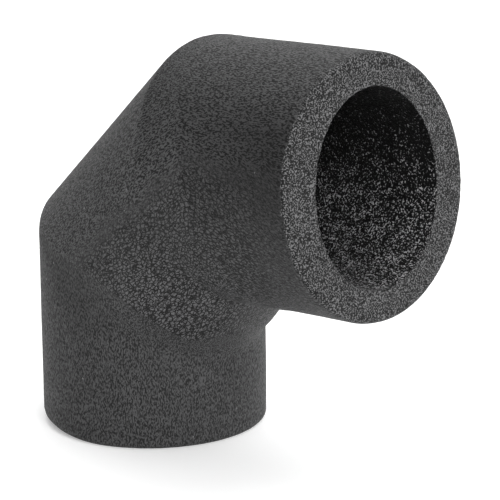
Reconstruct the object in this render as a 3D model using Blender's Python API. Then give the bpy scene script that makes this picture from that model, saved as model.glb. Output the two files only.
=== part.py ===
"""Pipe insulation elbow: one piece of black elastomeric foam, moulded as a 90 degree bend for a 42 mm pipe.

It stands on the cut end of its upright leg. A short slanting run joins that leg to the level leg, so the
bend has two softly rounded mitre corners, and the bore follows it from cut end to cut end. The level leg is
a little fuller at the bend than at its cut end, and that cut leans back by a few degrees. Metres, +Z up,
with the origin on the floor below the middle of the object's box.
"""

import math

import bmesh
import bpy
from mathutils import Vector

# Section: round outside, with a bore that is a little taller in the plane of the bend than it is wide
OUTER_DIAMETER = 0.060
BORE_IN_PLANE = 0.0448
BORE_ACROSS = 0.0400

# Heights from the foot
LEVEL_AXIS_HEIGHT = 0.0700
LOWER_MITRE_OUTSIDE = 0.0600
LOWER_MITRE_INSIDE = 0.0225

# Distances from the upright leg's axis
UPPER_MITRE_OUTSIDE = 0.0262
UPPER_MITRE_INSIDE = 0.0425
END_CUT_REACH = 0.0785
END_CUT_LEAN = math.radians(4)

# Width of the level leg at the bend as a share of its width at the cut end, and how far it stands up there
BEND_FULLNESS = 1.07
BEND_RISE = 0.0006

# Length of each rounded corner, measured from the mitre back along its run
LOWER_CORNER = 0.0018
UPPER_CORNER = 0.0018
BORE_CORNER = 0.0025
SKIN_CORNER_STEPS = 6
BORE_CORNER_STEPS = 3

# Rounding of the outer rim where a cut end meets the skin
FOOT_ROUNDING = 0.0012
END_ROUNDING = 0.0014
RIM_STEPS = 2

SEGMENTS = 64
SHARP_EDGE = math.radians(50)

SKIN_COLOUR = (0.045, 0.045, 0.048, 1.0)
SKIN_ROUGHNESS = 0.78

OUTER_RADIUS = OUTER_DIAMETER / 2
FOOT_CENTRE = Vector((0, 0, 0))
END_CENTRE = Vector((END_CUT_REACH, 0, LEVEL_AXIS_HEIGHT))


def clear_scene():
    for leftover in list(bpy.data.objects):
        bpy.data.objects.remove(leftover, do_unlink=True)


def between(first, second, share):
    """The value midway between two for a share of 0, with the first at a share of 1."""
    return (first + second) / 2 + share * (first - second) / 2


def generator(angle, in_plane, across, fullness, rise):
    """One line from foot to end, at this angle round the section, as its two ends and its two mitre corners.

    Angle 0 is the outside of the bend. Skin and bore turn at the same mitres and share the end cut's plane.
    """
    outside = in_plane * math.cos(angle)
    aside = across * math.sin(angle)
    at_bend = outside * fullness
    lower_height = between(LOWER_MITRE_OUTSIDE, LOWER_MITRE_INSIDE, outside / OUTER_RADIUS)
    upper_reach = between(UPPER_MITRE_OUTSIDE, UPPER_MITRE_INSIDE, at_bend / (OUTER_RADIUS * BEND_FULLNESS))
    end_reach = END_CUT_REACH - outside * math.tan(END_CUT_LEAN)
    return [
        Vector((-outside, aside, 0)),
        Vector((-outside, aside, lower_height)),
        Vector((upper_reach, aside * fullness, LEVEL_AXIS_HEIGHT + at_bend + rise)),
        Vector((end_reach, aside, LEVEL_AXIS_HEIGHT + outside)),
    ]


def rounded_corner(before, corner, after, length, steps):
    """Points of a smooth curve that leaves one run and joins the next, in place of their sharp corner."""
    start = corner + (before - corner).normalized() * length
    end = corner + (after - corner).normalized() * length
    points = []
    for step in range(steps + 1):
        t = step / steps
        points.append(start * (1 - t) ** 2 + corner * 2 * t * (1 - t) + end * t**2)
    return points


def rounded_rim(end, centre, along, rounding):
    """Points round the rim of a cut end, from its flat face out to the skin."""
    inward = (centre - end).normalized() * rounding
    back = (along - end).normalized() * rounding
    points = []
    for step in range(RIM_STEPS + 1):
        turn = math.radians(90) * step / RIM_STEPS
        points.append(end + inward * (1 - math.sin(turn)) + back * (1 - math.cos(turn)))
    return points


def skin_column(angle):
    foot, lower, upper, end = generator(angle, OUTER_RADIUS, OUTER_RADIUS, BEND_FULLNESS, BEND_RISE)
    points = rounded_rim(foot, FOOT_CENTRE, lower, FOOT_ROUNDING)
    points += rounded_corner(foot, lower, upper, LOWER_CORNER, SKIN_CORNER_STEPS)
    points += rounded_corner(lower, upper, end, UPPER_CORNER, SKIN_CORNER_STEPS)
    points += rounded_rim(end, END_CENTRE, upper, END_ROUNDING)[::-1]
    return points


def bore_column(angle):
    foot, lower, upper, end = generator(angle, BORE_IN_PLANE / 2, BORE_ACROSS / 2, 1, 0)
    points = [foot]
    points += rounded_corner(foot, lower, upper, BORE_CORNER, BORE_CORNER_STEPS)
    points += rounded_corner(lower, upper, end, BORE_CORNER, BORE_CORNER_STEPS)
    points.append(end)
    return points


def add_rings(mesh, column):
    """One surface as a list of rings of vertices, from the foot to the level leg's end."""
    columns = [column(2 * math.pi * segment / SEGMENTS) for segment in range(SEGMENTS)]
    return [[mesh.verts.new(point) for point in ring] for ring in zip(*columns)]


def bridge(mesh, rings):
    """Quads between each ring and the next."""
    for ring, following in zip(rings, rings[1:]):
        for segment in range(SEGMENTS):
            beside = (segment + 1) % SEGMENTS
            mesh.faces.new([ring[segment], ring[beside], following[beside], following[segment]])


def centre_on_box(mesh):
    """Move the elbow along X until the origin is below the middle of its box."""
    reaches = [vertex.co.x for vertex in mesh.verts]
    middle = (min(reaches) + max(reaches)) / 2
    bmesh.ops.translate(mesh, vec=Vector((-middle, 0, 0)), verts=mesh.verts)


def foam_material():
    material = bpy.data.materials.new("black_foam")
    material.use_nodes = True
    shader = material.node_tree.nodes["Principled BSDF"]
    shader.inputs["Base Color"].default_value = SKIN_COLOUR
    shader.inputs["Roughness"].default_value = SKIN_ROUGHNESS
    shader.inputs["Metallic"].default_value = 0.0
    return material


def make_elbow():
    mesh = bmesh.new()
    skin = add_rings(mesh, skin_column)
    bore = add_rings(mesh, bore_column)
    bridge(mesh, skin)
    bridge(mesh, bore)
    bridge(mesh, [bore[0], skin[0]])
    bridge(mesh, [skin[-1], bore[-1]])
    bmesh.ops.recalc_face_normals(mesh, faces=mesh.faces)
    centre_on_box(mesh)
    data = bpy.data.meshes.new("elbow")
    mesh.to_mesh(data)
    mesh.free()
    data.shade_smooth()
    data.set_sharp_from_angle(angle=SHARP_EDGE)
    elbow = bpy.data.objects.new("elbow", data)
    elbow.data.materials.append(foam_material())
    bpy.context.scene.collection.objects.link(elbow)
    return elbow


clear_scene()
make_elbow()
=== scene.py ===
"""Looks of the pipe insulation elbow: one dense foam mesh in place of the CAD solid, with its grained skin,
granular cut ends and lumpy bore, on a pale floor in soft studio light. Metres, +Z up, in the CAD's frame.
"""

import itertools
import math

import bpy
import numpy as np
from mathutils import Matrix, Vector


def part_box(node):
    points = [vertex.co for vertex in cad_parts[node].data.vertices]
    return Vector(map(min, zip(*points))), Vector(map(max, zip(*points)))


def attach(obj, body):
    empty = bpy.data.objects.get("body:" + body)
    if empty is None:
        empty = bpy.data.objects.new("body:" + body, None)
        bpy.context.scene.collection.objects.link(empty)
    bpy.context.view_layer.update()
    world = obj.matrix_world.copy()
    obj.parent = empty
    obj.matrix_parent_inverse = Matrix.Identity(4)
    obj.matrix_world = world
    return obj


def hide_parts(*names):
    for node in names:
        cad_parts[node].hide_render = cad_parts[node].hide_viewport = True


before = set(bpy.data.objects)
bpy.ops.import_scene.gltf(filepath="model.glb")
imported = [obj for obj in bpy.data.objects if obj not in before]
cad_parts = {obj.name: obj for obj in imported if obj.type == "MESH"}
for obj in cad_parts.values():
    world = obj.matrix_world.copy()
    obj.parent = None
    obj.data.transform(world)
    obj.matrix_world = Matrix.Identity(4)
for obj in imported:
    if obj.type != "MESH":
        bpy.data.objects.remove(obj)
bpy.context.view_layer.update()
elbow_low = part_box("elbow")[0]

# Section of the elbow, as radii, and how much fuller and higher the level leg is at the bend
OUTER_RADIUS = 0.030
BORE_IN_PLANE = 0.0224
BORE_ACROSS = 0.0200
BEND_FULLNESS = 1.07
BEND_RISE = 0.0005

# Heights from the foot, and distances from the upright leg's axis
LEVEL_AXIS_HEIGHT = 0.0700
LOWER_MITRE_OUTSIDE = 0.0600
LOWER_MITRE_INSIDE = 0.0225
UPPER_MITRE_OUTSIDE = 0.0262
UPPER_MITRE_INSIDE = 0.0425
END_CUT_REACH = 0.0785
END_CUT_LEAN = math.radians(4)
LEG_AXIS_X = elbow_low[0] + OUTER_RADIUS

# Rounding of corners and rims
LOWER_CORNER = 0.0020
UPPER_CORNER = 0.0009
BORE_CORNER = 0.0040
FOOT_ROUNDING = 0.0014
END_ROUNDING = 0.0016
MOUTH_ROUNDING = 0.0004

# The foot's rim lifts off the floor on the outside of the bend. The span is in shares of the outer radius
FOOT_LIFT = 0.0022
FOOT_LIFT_SPAN = (-0.4, 0.8)

# Mesh: points round the section, and rows along each stretch
AROUND = 384
LEG_ROWS = 46
SLANT_ROWS = 48
CORNER_ROWS = 7
RIM_ROWS = 4
END_FACE_ROWS = 18
FOOT_FACE_ROWS = 9
BORE_ROWS = 16

# Kinds of surface
SKIN = 0
CUT = 1
BORE = 2

# Distances from a cut face over which the skin frays and the bore begins
CUT_FRAY = (0.0002, 0.0014)
BORE_FRAY = (0, 0.0005)

# Lines round the elbow where the grain turns: where each starts outside the bend, and its fall inward
LOWER_TURN_HEIGHT = 0.0600
LOWER_TURN_FALL = 0.0168
LOWER_TURN_DIP = 0.0150
LOWER_TURN_DIP_POWER = 12
UPPER_TURN_REACH = 0.0262
UPPER_TURN_RUN = 0.0315

# How far noise moves each turn of the grain, and the size of that noise
LOWER_TURN_RAGGED = 0.003
LOWER_TURN_RAGGED_SIZE = 0.0025
UPPER_TURN_RAGGED = 0.007
UPPER_TURN_RAGGED_SIZE = 0.0040

# Directions of the grain
UPRIGHT = (0, 0, 1)
SLANT = (0.80, 0, 0.60)
LEVEL = (1, 0, 0)
LEVEL_BELOW = (0.95, 0, -0.31)

# The crazing lies below a line that rises to a ceiling along the slanting run. It fades over these spans
CRAZED_START = 0.0465
CRAZED_SLOPE = 0.63
CRAZED_CEILING = 0.0770
CRAZED_CEILING_FADE = (-0.0020, 0.0060)
CRAZED_TURN_FADE = (-0.0008, 0.0008)
CRAZED_END_FADE = (0.062, 0.076)
CRAZED_END_LOSS = 0.5
CRAZED_CROTCH_FADE = (0.020, 0.036)
CRAZED_CROTCH_LOSS = 0.6

# Painted shade on the level leg's side: heights from its axis, distances past the upper turn, and its least
# shares
LEVEL_ONSET = (-0.001, 0.002)
PAINTED_SHADE_SIDE_RISE = (-0.024, 0.004)
PAINTED_SHADE_SIDE_TOP = (0.013, 0.026)
PAINTED_SHADE_SIDE_RUN = (0, 0.030)
PAINTED_SHADE_SIDE_LOW_SHARE = 0.1
PAINTED_SHADE_SIDE_START_SHARE = 0.35

# Painted shade below the lower turn: distances from the turn and from the leg's axis
PAINTED_SHADE_LEG_RISE = (-0.024, -0.006)
PAINTED_SHADE_LEG_TOP = (-0.001, 0.001)
PAINTED_SHADE_LEG_REACH = (0.002, 0.022)
PAINTED_SHADE_LEG_SHARE = 0.55

# Painted light on the crotch and the level leg's underside: distances from the leg's axis and the lower turn,
# heights from the level axis
PAINTED_LIGHT_CROTCH_REACH = (0.012, 0.026)
PAINTED_LIGHT_CROTCH_ONSET = (-0.001, 0.003)
PAINTED_LIGHT_CROTCH_TOP = (-0.026, -0.014)
PAINTED_LIGHT_CROTCH_SHARE = 0.6
PAINTED_LIGHT_UNDERSIDE_DEPTH = (0.016, 0.028)
PAINTED_LIGHT_UNDERSIDE_SHARE = 0.25

# Noise on the mesh, as layers of size, seed and share
CRAZED_WANDER = ((0.009, 3, 0.0022), (0.004, 4, 0.0012))
PAINTED_SHADE_WANDER = ((0.008, 7, 0.002),)
SKIN_RIPPLES = ((0.0016, 11, 0.6), (0.0034, 12, 0.4))
CUT_GRAINS = ((0.0010, 13, 1),)
BORE_LUMPS = ((0.0019, 14, 0.7), (0.0045, 15, 0.3))

# How deep the relief sinks each surface
SKIN_RELIEF = 0.00007
CUT_RELIEF = 0.00018
BORE_RELIEF = 0.00040

# Soft steps at the two turns of the grain: depths, and the distances over which they come and go
LOWER_STEP = 0.00035
LOWER_STEP_RISE = (-0.030, -0.003)
LOWER_STEP_EDGE = (-0.0020, 0.0015)
LOWER_STEP_SIDE = (-0.024, 0)
UPPER_STEP = 0.00020
UPPER_STEP_EDGE = (-0.0010, 0.0020)
UPPER_STEP_FADE = (0.004, 0.030)

# Hash behind the mesh noise
LATTICE_FACTORS = (73856093, 19349663, 83492791)
SEED_FACTOR = 2654435
MIXING_FACTOR = 1274126177
MIXING_SHIFTS = (13, 16)
HASH_MASK = 0xFFFF
HASH_MIDDLE = 0x7FFF

# Sizes of the grain, and shares of coarser noise in it. A stretch below 1 draws it out along its run
WRINKLE_SIZE = 0.00028
BEND_WRINKLE_SIZE = 0.00029
WRINKLE_STRETCH = 0.36
CRAZED_SIZE = 0.00034
CRAZED_STRETCH = 0.50
PLATE_SIZE = 0.00082
PLATE_STRETCH = 0.60
PLATE_WARP_SIZE = PLATE_SIZE * 0.7
PLATE_WARP_REACH = PLATE_SIZE * 0.8
GRAIN_WARP_SIZE = 0.0012
GRAIN_WARP_REACH = 0.0005
GRAIN_ROUGHNESS = 0.6
PATCH_SIZE = 0.014
SPECK_SPACING = 0.007
SPECK_RADIUS = 0.00030
CELL_SIZE = 0.00035
CUT_PATCH_SIZE = 0.003
CUT_PATCH_SHARE = 0.10
LUMP_SIZE = 0.00044
LUMP_PATCH_SIZE = 0.0022
LUMP_PATCH_SHARE = 0.18
FRAY_SIZE = 0.0011
FRAY_SHARE = 1.2

# Half-widths of a crack and of its dark core, in shares of a plate, and how fully the crack shows
CRACK_WIDTH = 0.165
CRACK_CORE = CRACK_WIDTH * 0.4
CRACK_STRENGTH = 0.95

# Noise levels between which each look goes from its first value to its second
WRINKLE_LEVELS = (0.44, 0.56)
CRAZED_LEVELS = (0.40, 0.54)
PATCH_LEVELS = (0.35, 0.65)
CUT_LEVELS = (0.53, 0.68)
FLECK_LEVELS = (0.725, 0.80)
FRAY_LEVELS = (1.0, 1.2)
SKIN_ROUGHNESS_LEVELS = (0.3, 0.7)
BORE_ROUGHNESS_LEVELS = (0.35, 0.65)

# Tones, as linear grey, in pairs from pit to crest, and how strongly patches and the painted shade and light
# show
LEG_TONES = (0.010, 0.058)
BEND_TONES = (0.003, 0.064)
CRAZED_TONES = (0.022, 0.074)
CUT_TONES = (0.001, 0.120)
BORE_TONES = (0.003, 0.56)
PATCH_TONE = 0.020
PATCH_STRENGTH = 0.12
SPECK_TONE = 0.15
CRACK_TONE = 0.001
BLUE_TRACE = 1.02
PAINTED_SHADE_AND_LIGHT_STRENGTH = 0.55

# Pale flecks in the bore, thickening and brightening toward its lower side as painted light and thinning to
# painted shade toward its upper side: heights between which they change, and by how much
BORE_UPPER_SIDE = LEVEL_AXIS_HEIGHT + 0.018
BORE_LOWER_SIDE = LEVEL_AXIS_HEIGHT - 0.014
PAINTED_LIGHT_LOWER_SIDE_SHARE = 0.09
FLECK_STRENGTH = 0.6
PAINTED_LIGHT_FLECK_GAIN = 0.2

# Finish: roughness from pit to crest, and bump
SKIN_ROUGHNESS = (0.75, 0.55)
CUT_ROUGHNESS = 0.7
BORE_ROUGHNESS = (0.6, 0.35)
SPECULAR_LEVEL = 0.22
BUMP_DEPTH = 0.00014
WRINKLE_BUMP = 1.2
CRACK_BUMP = -0.6
CELL_BUMP = 1.2
LUMP_BUMP = 2.2

# Sockets of a mix node by its kind, as first value, second value and result, and the middle of a noise colour
MIX_SOCKETS = {"FLOAT": (2, 3, 0), "VECTOR": (4, 5, 1), "RGBA": (6, 7, 2)}
NOISE_MIDDLE = (0.5, 0.5, 0.5)

# Stage: a pale floor that glows a little, like a light table
FLOOR_SIZE = 8
FLOOR_COLOUR = (0.85, 0.85, 0.85, 1)
FLOOR_ROUGHNESS = 0.85
FLOOR_GLOW = 0.38

# Camera at the photograph's viewing angle
CAMERA_YAW = math.radians(46.45)
CAMERA_PITCH = math.radians(11.3)
CAMERA_DISTANCE = 0.3265
CAMERA_AIM = Vector((LEG_AXIS_X + 0.03725, -0.00014, 0.05044))
CAMERA_CLIP = (0.01, 20)
SENSOR_WIDTH = 36
CAMERA_LENS = 96.1

# Lamps, and how bright the surround is by direction
LIT_POINT = Vector((0, 0, 0.05))
TOP_LIGHT_PLACE = (-0.1, 0.3, 1)
TOP_LIGHT_POWER = 2.4
TOP_LIGHT_SPREAD = math.radians(80)
BORE_LIGHT_PLACE = (0.9, -0.35, 0.45)
BORE_LIGHT_POWER = 6.5
BORE_LIGHT_SIZE = 0.5
FRONT_TO_BACK = (-0.7, 0.3)
SURROUND_FRONT = 0.55
SURROUND_BACK = 1.43
LEVEL_TO_ABOVE = (0.1, 0.6)
SURROUND_ABOVE = 0.35
SURROUND_COLOUR = (1, 1, 1, 1)


def ease(share):
    """A share from 0 to 1 with a smooth start and end."""
    return share * share * (3 - 2 * share)


def smooth_step(span, values):
    """0 before the span, 1 past it, and smooth between."""
    low, high = span
    return ease(np.clip((values - low) / (high - low), 0, 1))


def band(rise, fall, values):
    """1 between two spans, and smooth across each."""
    return smooth_step(rise, values) * (1 - smooth_step(fall, values))


def from_least(least, share):
    """The share raised so that it starts at its least value instead of 0."""
    return least + (1 - least) * share


def between(first, second, share):
    """The value midway between two for a share of 0, with the first at a share of 1."""
    return (first + second) / 2 + share * (first - second) / 2


def unit(vectors):
    return vectors / np.linalg.norm(vectors, axis=-1, keepdims=True)


def lattice_value(corner, seed):
    """A fixed pseudo-random number from -1 to 1 for each lattice point."""
    mixed = np.bitwise_xor.reduce(corner * LATTICE_FACTORS, axis=1) ^ (seed * SEED_FACTOR)
    mixed = (mixed ^ (mixed >> MIXING_SHIFTS[0])) * MIXING_FACTOR
    mixed = (mixed ^ (mixed >> MIXING_SHIFTS[1])) & HASH_MASK
    return mixed / HASH_MIDDLE - 1


def lattice_noise(points, size, seed):
    """Smooth noise from -1 to 1 whose lumps are about this size."""
    scaled = points / size
    corner = np.floor(scaled).astype(np.int64)
    part = ease(scaled - corner)
    total = np.zeros(len(points))
    for offset in itertools.product((0, 1), repeat=3):
        weight = np.prod(np.where(offset, part, 1 - part), axis=1)
        total += weight * lattice_value(corner + np.array(offset), seed)
    return total


def layered_noise(points, layers):
    return sum(lattice_noise(points, size, seed) * share for size, seed, share in layers)


def generators(in_plane, across, fullness, rise):
    """Foot, lower mitre, upper mitre and end of every line along the elbow. Angle 0 is outside the bend."""
    angle = np.linspace(0, 2 * math.pi, AROUND, endpoint=False)
    outside = in_plane * np.cos(angle)
    aside = across * np.sin(angle)
    at_bend = outside * fullness
    lower = between(LOWER_MITRE_OUTSIDE, LOWER_MITRE_INSIDE, outside / OUTER_RADIUS)
    upper = between(UPPER_MITRE_OUTSIDE, UPPER_MITRE_INSIDE, at_bend / (OUTER_RADIUS * BEND_FULLNESS))
    end = END_CUT_REACH - outside * math.tan(END_CUT_LEAN)
    corners = (
        (-outside, aside, FOOT_LIFT * smooth_step(FOOT_LIFT_SPAN, outside / OUTER_RADIUS)),
        (-outside, aside, lower),
        (upper, aside * fullness, LEVEL_AXIS_HEIGHT + at_bend + rise),
        (end, aside, LEVEL_AXIS_HEIGHT + outside),
    )
    return [np.stack(corner, axis=1) + (LEG_AXIS_X, 0, 0) for corner in corners]


def corner_rows(before, corner, after, length):
    """Rows of a smooth curve that leaves one run and joins the next."""
    start = corner + unit(before - corner) * length
    end = corner + unit(after - corner) * length
    shares = np.linspace(0, 1, CORNER_ROWS)
    return [start * (1 - t) ** 2 + corner * 2 * t * (1 - t) + end * t**2 for t in shares]


def straight_rows(start, end, rows):
    """Rows strictly between two others."""
    return [start + (end - start) * row / rows for row in range(1, rows)]


def rim_rows(end, centre, along, rounding):
    """Rows round a rim, from its flat face out to the long surface."""
    inward = unit(centre - end) * rounding
    back = unit(along - end) * rounding
    turns = np.linspace(0, math.pi / 2, RIM_ROWS)
    return [end + inward * (1 - math.sin(turn)) + back * (1 - math.cos(turn)) for turn in turns]


def long_surface(section, corners, rims, rows, face_side):
    """Rows of a skin or bore from foot to end. face_side is 1 where the rims turn inward, or -1 outward."""
    foot, lower, upper, end = generators(*section)
    foot_centre = np.array([LEG_AXIS_X, 0, 0])
    end_centre = np.array([LEG_AXIS_X + END_CUT_REACH, 0, LEVEL_AXIS_HEIGHT])
    first = rim_rows(foot, foot + (foot_centre - foot) * face_side, lower, rims[0])
    low = corner_rows(foot, lower, upper, corners[0])
    high = corner_rows(lower, upper, end, corners[1])
    last = rim_rows(end, end + (end_centre - end) * face_side, upper, rims[1])[::-1]
    made = first + straight_rows(first[-1], low[0], rows[0]) + low
    made += straight_rows(low[-1], high[0], rows[1]) + high
    made += straight_rows(high[-1], last[0], rows[2]) + last
    return made


def elbow_rows():
    """Every ring of the closed surface, and whether it is skin, cut face or bore."""
    skin = long_surface(
        (OUTER_RADIUS, OUTER_RADIUS, BEND_FULLNESS, BEND_RISE),
        corners=(LOWER_CORNER, UPPER_CORNER),
        rims=(FOOT_ROUNDING, END_ROUNDING),
        rows=(LEG_ROWS, SLANT_ROWS, LEG_ROWS),
        face_side=1,
    )
    bore = long_surface(
        (BORE_IN_PLANE, BORE_ACROSS, 1, 0),
        corners=(BORE_CORNER, BORE_CORNER),
        rims=(MOUTH_ROUNDING, MOUTH_ROUNDING),
        rows=(BORE_ROWS, BORE_ROWS, BORE_ROWS),
        face_side=-1,
    )[::-1]
    end_face = straight_rows(skin[-1], bore[0], END_FACE_ROWS)
    foot_face = straight_rows(bore[-1], skin[0], FOOT_FACE_ROWS)
    rows = skin + end_face + bore + foot_face
    kinds = [SKIN] * len(skin) + [CUT] * len(end_face) + [BORE] * len(bore) + [CUT] * len(foot_face)
    return rows, kinds


def ring_faces(count):
    """Quads between each ring and the next, the last ring joined to the first."""
    here = np.arange(AROUND)
    beside = (here + 1) % AROUND
    faces = []
    for row in range(count):
        near = row * AROUND
        far = (row + 1) % count * AROUND
        faces.append(np.stack([near + here, far + here, far + beside, near + beside], axis=1))
    return np.concatenate(faces)


def outward_normals(points, count):
    grid = points.reshape(count, AROUND, 3)
    along = np.roll(grid, -1, axis=0) - np.roll(grid, 1, axis=0)
    around = np.roll(grid, -1, axis=1) - np.roll(grid, 1, axis=1)
    return unit(np.cross(along, around)).reshape(-1, 3)


def surface_masks(points, kinds):
    """How far each point is cut foam, and how far it is bore, each blending over a short span."""
    kind = np.repeat(kinds, AROUND)
    end_plane = LEG_AXIS_X + END_CUT_REACH - (points[:, 2] - LEVEL_AXIS_HEIGHT) * math.tan(END_CUT_LEAN)
    end_distance = (end_plane - points[:, 0]) * math.cos(END_CUT_LEAN)
    near_end = points[:, 0] > LEG_AXIS_X + OUTER_RADIUS
    frayed = np.where(near_end, 1 - smooth_step(CUT_FRAY, end_distance), 0)
    from_face = np.where(near_end, end_distance, points[:, 2])
    cut = np.where(kind == CUT, 1, frayed)
    bore = np.where(kind == BORE, smooth_step(BORE_FRAY, from_face), 0)
    return cut, bore


def turn_lines(points):
    """Height above the line where the grain leaves the upright leg, and distance past where it levels."""
    reach = points[:, 0] - LEG_AXIS_X
    inside = np.sqrt((1 + np.clip(reach / OUTER_RADIUS, -1, 1)) / 2)
    line = LOWER_TURN_HEIGHT - LOWER_TURN_FALL * inside - LOWER_TURN_DIP * inside**LOWER_TURN_DIP_POWER
    above = points[:, 2] - line
    rise = (points[:, 2] - LEVEL_AXIS_HEIGHT) / (OUTER_RADIUS * BEND_FULLNESS)
    under = np.sqrt((1 - np.clip(rise, -1, 1)) / 2)
    past = reach - UPPER_TURN_REACH - UPPER_TURN_RUN * under
    return above, past


def crease_mask(points, above, past):
    """Where the skin is crazed: the sides and the inside of the bend, from the lower turn to the end."""
    reach = points[:, 0] - LEG_AXIS_X
    wander = layered_noise(points, CRAZED_WANDER)
    ceiling = np.minimum(CRAZED_CEILING, CRAZED_START + CRAZED_SLOPE * reach)
    below = smooth_step(CRAZED_CEILING_FADE, ceiling - points[:, 2] + wander)
    toward_end = 1 - CRAZED_END_LOSS * smooth_step(CRAZED_END_FADE, reach)
    inward = smooth_step(CRAZED_CROTCH_FADE, OUTER_RADIUS - np.abs(points[:, 1]))
    toward_crotch = 1 - CRAZED_CROTCH_LOSS * inward * (past < 0)
    return smooth_step(CRAZED_TURN_FADE, above + wander / 2) * below * toward_end * toward_crotch


def painted_shade_and_light_mask(points, above, past):
    """Painted shade on the skin: most on the level leg's side toward its end and below the lower turn, and
    below 0 where painted light makes the crotch and underside paler.
    """
    reach = points[:, 0] - LEG_AXIS_X
    height = points[:, 2] - LEVEL_AXIS_HEIGHT + layered_noise(points, PAINTED_SHADE_WANDER)
    level = smooth_step(LEVEL_ONSET, past)
    side = from_least(PAINTED_SHADE_SIDE_LOW_SHARE, smooth_step(PAINTED_SHADE_SIDE_RISE, height))
    side *= 1 - smooth_step(PAINTED_SHADE_SIDE_TOP, height)
    side *= level * from_least(PAINTED_SHADE_SIDE_START_SHARE, smooth_step(PAINTED_SHADE_SIDE_RUN, past))
    upper_leg = band(PAINTED_SHADE_LEG_RISE, PAINTED_SHADE_LEG_TOP, above) * (1 - smooth_step(PAINTED_SHADE_LEG_REACH, reach))
    crotch = smooth_step(PAINTED_LIGHT_CROTCH_REACH, reach) * smooth_step(PAINTED_LIGHT_CROTCH_ONSET, above) * (1 - level)
    crotch *= 1 - smooth_step(PAINTED_LIGHT_CROTCH_TOP, height)
    underside = smooth_step(PAINTED_LIGHT_UNDERSIDE_DEPTH, -height) * level
    return side + PAINTED_SHADE_LEG_SHARE * upper_leg - PAINTED_LIGHT_CROTCH_SHARE * crotch - PAINTED_LIGHT_UNDERSIDE_SHARE * underside


def troughs(values):
    """Noise from -1 to 1 as a depth, 0 on its crests and 1 in its troughs."""
    return 0.5 - values / 2


def add_relief(points, normals, cut, bore, above, past):
    """Sinks the surface a little: ripples and steps on the skin, grains on the cuts, lumps in the bore."""
    skin = (1 - cut) * (1 - bore)
    on_side = smooth_step(LOWER_STEP_SIDE, points[:, 0] - LEG_AXIS_X)
    lower_step = band(LOWER_STEP_RISE, LOWER_STEP_EDGE, above) * on_side
    upper_step = band(UPPER_STEP_EDGE, UPPER_STEP_FADE, past)
    depth = SKIN_RELIEF * skin * troughs(layered_noise(points, SKIN_RIPPLES))
    depth += skin * (LOWER_STEP * lower_step + UPPER_STEP * upper_step)
    depth += CUT_RELIEF * cut * (1 - bore) * troughs(layered_noise(points, CUT_GRAINS))
    depth += BORE_RELIEF * bore * troughs(layered_noise(points, BORE_LUMPS))
    return points - normals * depth[:, None]


def build_mesh():
    rows, kinds = elbow_rows()
    points = np.concatenate(rows)
    cut, bore = surface_masks(points, kinds)
    above, past = turn_lines(points)
    masks = {
        "cut": cut,
        "bore": bore,
        "creasing": crease_mask(points, above, past),
        # Painted shade and painted light on the skin, as one mask: above 0 it darkens, below 0 it lightens
        "dark": painted_shade_and_light_mask(points, above, past),
        "above_turn": above,
        "past_turn": past,
    }
    points = add_relief(points, outward_normals(points, len(rows)), cut, bore, above, past)
    mesh = bpy.data.meshes.new("foam_elbow")
    mesh.from_pydata(points.tolist(), [], ring_faces(len(rows)).tolist())
    for name, values in masks.items():
        mesh.attributes.new(name, "FLOAT", "POINT").data.foreach_set("value", values.astype(np.float32))
    mesh.shade_smooth()
    return mesh


def add_node(tree, kind, inputs, **settings):
    """A new node with these settings. An input is linked if it is given a socket, and set if not."""
    node = tree.nodes.new(kind)
    for name, value in settings.items():
        setattr(node, name, value)
    for key, value in inputs.items():
        if isinstance(value, bpy.types.NodeSocket):
            tree.links.new(value, node.inputs[key])
        else:
            node.inputs[key].default_value = value
    return node


def combine(tree, operation, first, second=0.0, third=0.0):
    node = add_node(tree, "ShaderNodeMath", {0: first, 1: second, 2: third}, operation=operation)
    return node.outputs["Value"]


def vector_math(tree, operation, first, second, third=(0, 0, 0), output="Vector"):
    node = add_node(tree, "ShaderNodeVectorMath", {0: first, 1: second, 2: third}, operation=operation)
    return node.outputs[output]


def scaled(tree, vector, factor):
    node = add_node(tree, "ShaderNodeVectorMath", {0: vector, "Scale": factor}, operation="SCALE")
    return node.outputs["Vector"]


def attribute(tree, name):
    return add_node(tree, "ShaderNodeAttribute", {}, attribute_name=name).outputs["Fac"]


def object_place(tree):
    return add_node(tree, "ShaderNodeTexCoord", {}).outputs["Object"]


def height_of(tree, place):
    return add_node(tree, "ShaderNodeSeparateXYZ", {0: place}).outputs["Z"]


def noise(tree, vector, size, detail=1.0, roughness=0.5, output="Fac"):
    """Noise whose features are about this size, which may vary over the surface."""
    scale = combine(tree, "DIVIDE", 1, size)
    inputs = {"Vector": vector, "Scale": scale, "Detail": detail, "Roughness": roughness}
    return add_node(tree, "ShaderNodeTexNoise", inputs).outputs[output]


def voronoi_distance(tree, vector, size, feature):
    """Distance to the feature of the nearest cell, in shares of the cells' size."""
    inputs = {"Vector": vector, "Scale": 1 / size}
    return add_node(tree, "ShaderNodeTexVoronoi", inputs, feature=feature).outputs["Distance"]


def remap(tree, value, low, high, to_low=0.0, to_high=1.0):
    inputs = {"Value": value, "From Min": low, "From Max": high, "To Min": to_low, "To Max": to_high}
    node = add_node(tree, "ShaderNodeMapRange", inputs, interpolation_type="SMOOTHSTEP")
    return node.outputs["Result"]


def blend(tree, share, first, second, kind="FLOAT"):
    first_socket, second_socket, result = MIX_SOCKETS[kind]
    inputs = {0: share, first_socket: first, second_socket: second}
    return add_node(tree, "ShaderNodeMix", inputs, data_type=kind).outputs[result]


def grey(level):
    """A neutral black-foam colour with a trace of blue."""
    return (level, level, level * BLUE_TRACE, 1)


def two_tones(tree, share, tones):
    return blend(tree, share, grey(tones[0]), grey(tones[1]), "RGBA")


def ragged_by(tree, place, reach, size, detail):
    """Noise of this size, from -reach to reach."""
    return combine(tree, "MULTIPLY_ADD", noise(tree, place, size, detail), 2 * reach, -reach)


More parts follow.
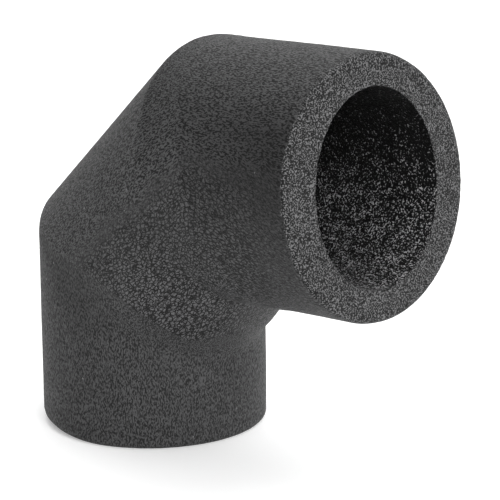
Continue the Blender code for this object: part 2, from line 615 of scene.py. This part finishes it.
def past_line(tree, distance, ragged, line=0.0):
    """1 where the distance and its raggedness together are past the line, and 0 before it."""
    return combine(tree, "GREATER_THAN", combine(tree, "ADD", distance, ragged), line)


def run_direction(tree, place):
    """The direction of the grain, and 1 past its first turn. It switches sharply, along ragged lines."""
    ragged = ragged_by(tree, place, LOWER_TURN_RAGGED, LOWER_TURN_RAGGED_SIZE, detail=2.0)
    slanting = past_line(tree, attribute(tree, "above_turn"), ragged)
    ragged = ragged_by(tree, place, UPPER_TURN_RAGGED, UPPER_TURN_RAGGED_SIZE, detail=3.0)
    level = past_line(tree, attribute(tree, "past_turn"), ragged)
    upper = past_line(tree, height_of(tree, place), ragged, CRAZED_CEILING)
    level_direction = blend(tree, upper, LEVEL_BELOW, LEVEL, "VECTOR")
    direction = blend(tree, slanting, UPRIGHT, SLANT, "VECTOR")
    return blend(tree, level, direction, level_direction, "VECTOR"), slanting


def draw_out(tree, place, direction, stretch):
    """Coordinates in which features grow longer along this direction, by 1 / stretch."""
    travel = vector_math(tree, "DOT_PRODUCT", place, direction, output="Value")
    change = combine(tree, "MULTIPLY", travel, stretch - 1)
    return vector_math(tree, "ADD", scaled(tree, direction, change), place)


def warp(tree, vector, size, reach):
    """The same coordinates, pushed about by noise of this size by up to this reach."""
    wander = noise(tree, vector, size, output="Color")
    centred = vector_math(tree, "SUBTRACT", wander, NOISE_MIDDLE)
    return vector_math(tree, "MULTIPLY_ADD", centred, (reach, reach, reach), vector)


def cracks(tree, place):
    """1 along the thin cracks between the plates of the crazed skin, 0 inside them."""
    wandering = warp(tree, place, PLATE_WARP_SIZE, PLATE_WARP_REACH)
    distance = voronoi_distance(tree, wandering, PLATE_SIZE, "DISTANCE_TO_EDGE")
    return remap(tree, distance, CRACK_CORE, CRACK_WIDTH, 1, 0)


def specks(tree, place):
    """1 on small round specks, far apart."""
    distance = voronoi_distance(tree, place, SPECK_SPACING, "F1")
    radius = SPECK_RADIUS / SPECK_SPACING
    return remap(tree, distance, radius / 2, radius, 1, 0)


def skin_grain(tree, place, bent, direction):
    """The wrinkles of the smooth skin, and the coarser ones under the crazing, each as noise."""
    wandering = warp(tree, place, GRAIN_WARP_SIZE, GRAIN_WARP_REACH)
    size = blend(tree, bent, WRINKLE_SIZE, BEND_WRINKLE_SIZE)
    drawn_out = draw_out(tree, wandering, direction, WRINKLE_STRETCH)
    wrinkles = noise(tree, drawn_out, size, roughness=GRAIN_ROUGHNESS)
    drawn_out = draw_out(tree, wandering, direction, CRAZED_STRETCH)
    return wrinkles, noise(tree, drawn_out, CRAZED_SIZE, roughness=GRAIN_ROUGHNESS)


def skin_look(tree):
    """Colour, roughness and height of the moulded skin: wrinkles along each run, crazed round the bend, with
    painted shade and painted light.
    """
    place = object_place(tree)
    direction, bent = run_direction(tree, place)
    wrinkles, crazing = skin_grain(tree, place, bent, direction)
    creasing = attribute(tree, "creasing")
    crack = cracks(tree, draw_out(tree, place, direction, PLATE_STRETCH))
    crack = combine(tree, "MULTIPLY", crack, combine(tree, "MULTIPLY", creasing, CRACK_STRENGTH))
    pit = blend(tree, bent, grey(LEG_TONES[0]), grey(BEND_TONES[0]), "RGBA")
    crest = blend(tree, bent, grey(LEG_TONES[1]), grey(BEND_TONES[1]), "RGBA")
    smooth = blend(tree, remap(tree, wrinkles, *WRINKLE_LEVELS), pit, crest, "RGBA")
    crazed = two_tones(tree, remap(tree, crazing, *CRAZED_LEVELS), CRAZED_TONES)
    tone = blend(tree, creasing, smooth, crazed, "RGBA")
    patches = remap(tree, noise(tree, place, PATCH_SIZE, detail=2.0), *PATCH_LEVELS, 0, PATCH_STRENGTH)
    tone = blend(tree, patches, tone, grey(PATCH_TONE), "RGBA")
    # Painted shade and painted light: the mesh's mask darkens the tone, or lightens it where the mask is
    # below 0
    tone = scaled(tree, tone, combine(tree, "MULTIPLY_ADD", attribute(tree, "dark"), -PAINTED_SHADE_AND_LIGHT_STRENGTH, 1))
    tone = blend(tree, specks(tree, place), tone, grey(SPECK_TONE), "RGBA")
    colour = blend(tree, crack, tone, grey(CRACK_TONE), "RGBA")
    roughness = remap(tree, wrinkles, *SKIN_ROUGHNESS_LEVELS, *SKIN_ROUGHNESS)
    sunk = combine(tree, "MULTIPLY", crack, CRACK_BUMP)
    return colour, roughness, combine(tree, "MULTIPLY_ADD", wrinkles, WRINKLE_BUMP, sunk)


def cut_look(tree):
    """The sliced ends: open cells, as bright and dark grains side by side."""
    place = object_place(tree)
    cells = noise(tree, place, CELL_SIZE, roughness=GRAIN_ROUGHNESS)
    patches = noise(tree, place, CUT_PATCH_SIZE, detail=2.0)
    level = combine(tree, "MULTIPLY_ADD", patches, CUT_PATCH_SHARE, cells)
    colour = two_tones(tree, remap(tree, level, *CUT_LEVELS), CUT_TONES)
    return colour, CUT_ROUGHNESS, combine(tree, "MULTIPLY", cells, CELL_BUMP)


def bore_look(tree):
    """The bore: black and lumpy, with small pale facets that thin out and dim toward its upper side as
    painted shade, and thicken toward its lower side as painted light.
    """
    place = object_place(tree)
    lumps = noise(tree, place, LUMP_SIZE, detail=2.0, roughness=GRAIN_ROUGHNESS)
    patches = noise(tree, place, LUMP_PATCH_SIZE)
    # Painted light toward the bore's lower side and painted shade toward its upper side, by height
    low = remap(tree, height_of(tree, place), BORE_UPPER_SIDE, BORE_LOWER_SIDE)
    level = combine(tree, "MULTIPLY_ADD", patches, LUMP_PATCH_SHARE, lumps)
    level = combine(tree, "MULTIPLY_ADD", low, PAINTED_LIGHT_LOWER_SIDE_SHARE, level)
    strength = combine(tree, "MULTIPLY_ADD", low, PAINTED_LIGHT_FLECK_GAIN, FLECK_STRENGTH)
    flecks = combine(tree, "MULTIPLY", remap(tree, level, *FLECK_LEVELS), strength)
    roughness = remap(tree, lumps, *BORE_ROUGHNESS_LEVELS, *BORE_ROUGHNESS)
    return two_tones(tree, flecks, BORE_TONES), roughness, combine(tree, "MULTIPLY", lumps, LUMP_BUMP)


def frayed(tree, name, fray):
    """One of the mesh's masks, with its edge broken up by this noise."""
    return remap(tree, combine(tree, "ADD", attribute(tree, name), fray), *FRAY_LEVELS)


def foam_material():
    """Skin, cut and bore in one material, mixed by the mesh's masks along frayed edges."""
    material = bpy.data.materials.new("black_foam")
    material.use_nodes = True
    tree = material.node_tree
    fray = combine(tree, "MULTIPLY", noise(tree, object_place(tree), FRAY_SIZE, detail=2.0), FRAY_SHARE)
    cut_share = frayed(tree, "cut", fray)
    bore_share = frayed(tree, "bore", fray)
    looks = zip(("RGBA", "FLOAT", "FLOAT"), skin_look(tree), cut_look(tree), bore_look(tree))
    mixed = []
    for kind, skin, cut, bore in looks:
        sliced = blend(tree, cut_share, skin, cut, kind)
        mixed.append(blend(tree, bore_share, sliced, bore, kind))
    colour, roughness, height = mixed
    bump = add_node(tree, "ShaderNodeBump", {"Height": height, "Distance": BUMP_DEPTH, "Strength": 1.0})
    shader = tree.nodes["Principled BSDF"]
    shader.inputs["Specular IOR Level"].default_value = SPECULAR_LEVEL
    tree.links.new(colour, shader.inputs["Base Color"])
    tree.links.new(roughness, shader.inputs["Roughness"])
    tree.links.new(bump.outputs["Normal"], shader.inputs["Normal"])
    return material


def add_elbow():
    mesh = build_mesh()
    mesh.materials.append(foam_material())
    elbow = bpy.data.objects.new("foam_elbow", mesh)
    bpy.context.scene.collection.objects.link(elbow)
    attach(elbow, "root")
    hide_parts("elbow")


def add_floor():
    material = bpy.data.materials.new("pale_floor")
    material.use_nodes = True
    shader = material.node_tree.nodes["Principled BSDF"]
    shader.inputs["Base Color"].default_value = FLOOR_COLOUR
    shader.inputs["Roughness"].default_value = FLOOR_ROUGHNESS
    shader.inputs["Emission Color"].default_value = FLOOR_COLOUR
    shader.inputs["Emission Strength"].default_value = FLOOR_GLOW
    bpy.ops.mesh.primitive_plane_add(size=FLOOR_SIZE)
    floor = bpy.context.object
    floor.name = "floor"
    floor.data.materials.append(material)


def add_camera():
    data = bpy.data.cameras.new("camera")
    data.sensor_width = SENSOR_WIDTH
    data.lens = CAMERA_LENS
    data.clip_start, data.clip_end = CAMERA_CLIP
    camera = bpy.data.objects.new("camera", data)
    bpy.context.scene.collection.objects.link(camera)
    back = Vector((
        math.sin(CAMERA_YAW) * math.cos(CAMERA_PITCH),
        -math.cos(CAMERA_YAW) * math.cos(CAMERA_PITCH),
        math.sin(CAMERA_PITCH),
    ))
    camera.location = CAMERA_AIM + back * CAMERA_DISTANCE
    camera.rotation_euler = back.to_track_quat("Z", "Y").to_euler()
    bpy.context.scene.camera = camera


def add_light(name, kind, location, power, **settings):
    """A soft lamp that looks at the middle of the elbow."""
    data = bpy.data.lights.new(name, kind)
    data.energy = power
    for key, value in settings.items():
        setattr(data, key, value)
    light = bpy.data.objects.new(name, data)
    light.location = location
    light.rotation_euler = (Vector(location) - LIT_POINT).to_track_quat("Z", "Y").to_euler()
    bpy.context.scene.collection.objects.link(light)


def add_studio():
    """A pale surround, bright behind the elbow and dimmer in front of it and above."""
    world = bpy.data.worlds.new("studio")
    world.use_nodes = True
    tree = world.node_tree
    direction = add_node(tree, "ShaderNodeTexCoord", {}).outputs["Generated"]
    parts = add_node(tree, "ShaderNodeSeparateXYZ", {0: direction}).outputs
    round_about = remap(tree, parts["Y"], *FRONT_TO_BACK, SURROUND_FRONT, SURROUND_BACK)
    upward = remap(tree, parts["Z"], *LEVEL_TO_ABOVE, 1, SURROUND_ABOVE)
    background = tree.nodes["Background"]
    background.inputs["Color"].default_value = SURROUND_COLOUR
    tree.links.new(combine(tree, "MULTIPLY", round_about, upward), background.inputs["Strength"])
    bpy.context.scene.world = world


add_elbow()
add_floor()
add_camera()
add_light("top_light", "SUN", TOP_LIGHT_PLACE, TOP_LIGHT_POWER, angle=TOP_LIGHT_SPREAD)
add_light("bore_light", "AREA", BORE_LIGHT_PLACE, BORE_LIGHT_POWER, shape="DISK", size=BORE_LIGHT_SIZE)
add_studio()
bpy.context.scene.view_settings.view_transform = "Standard"
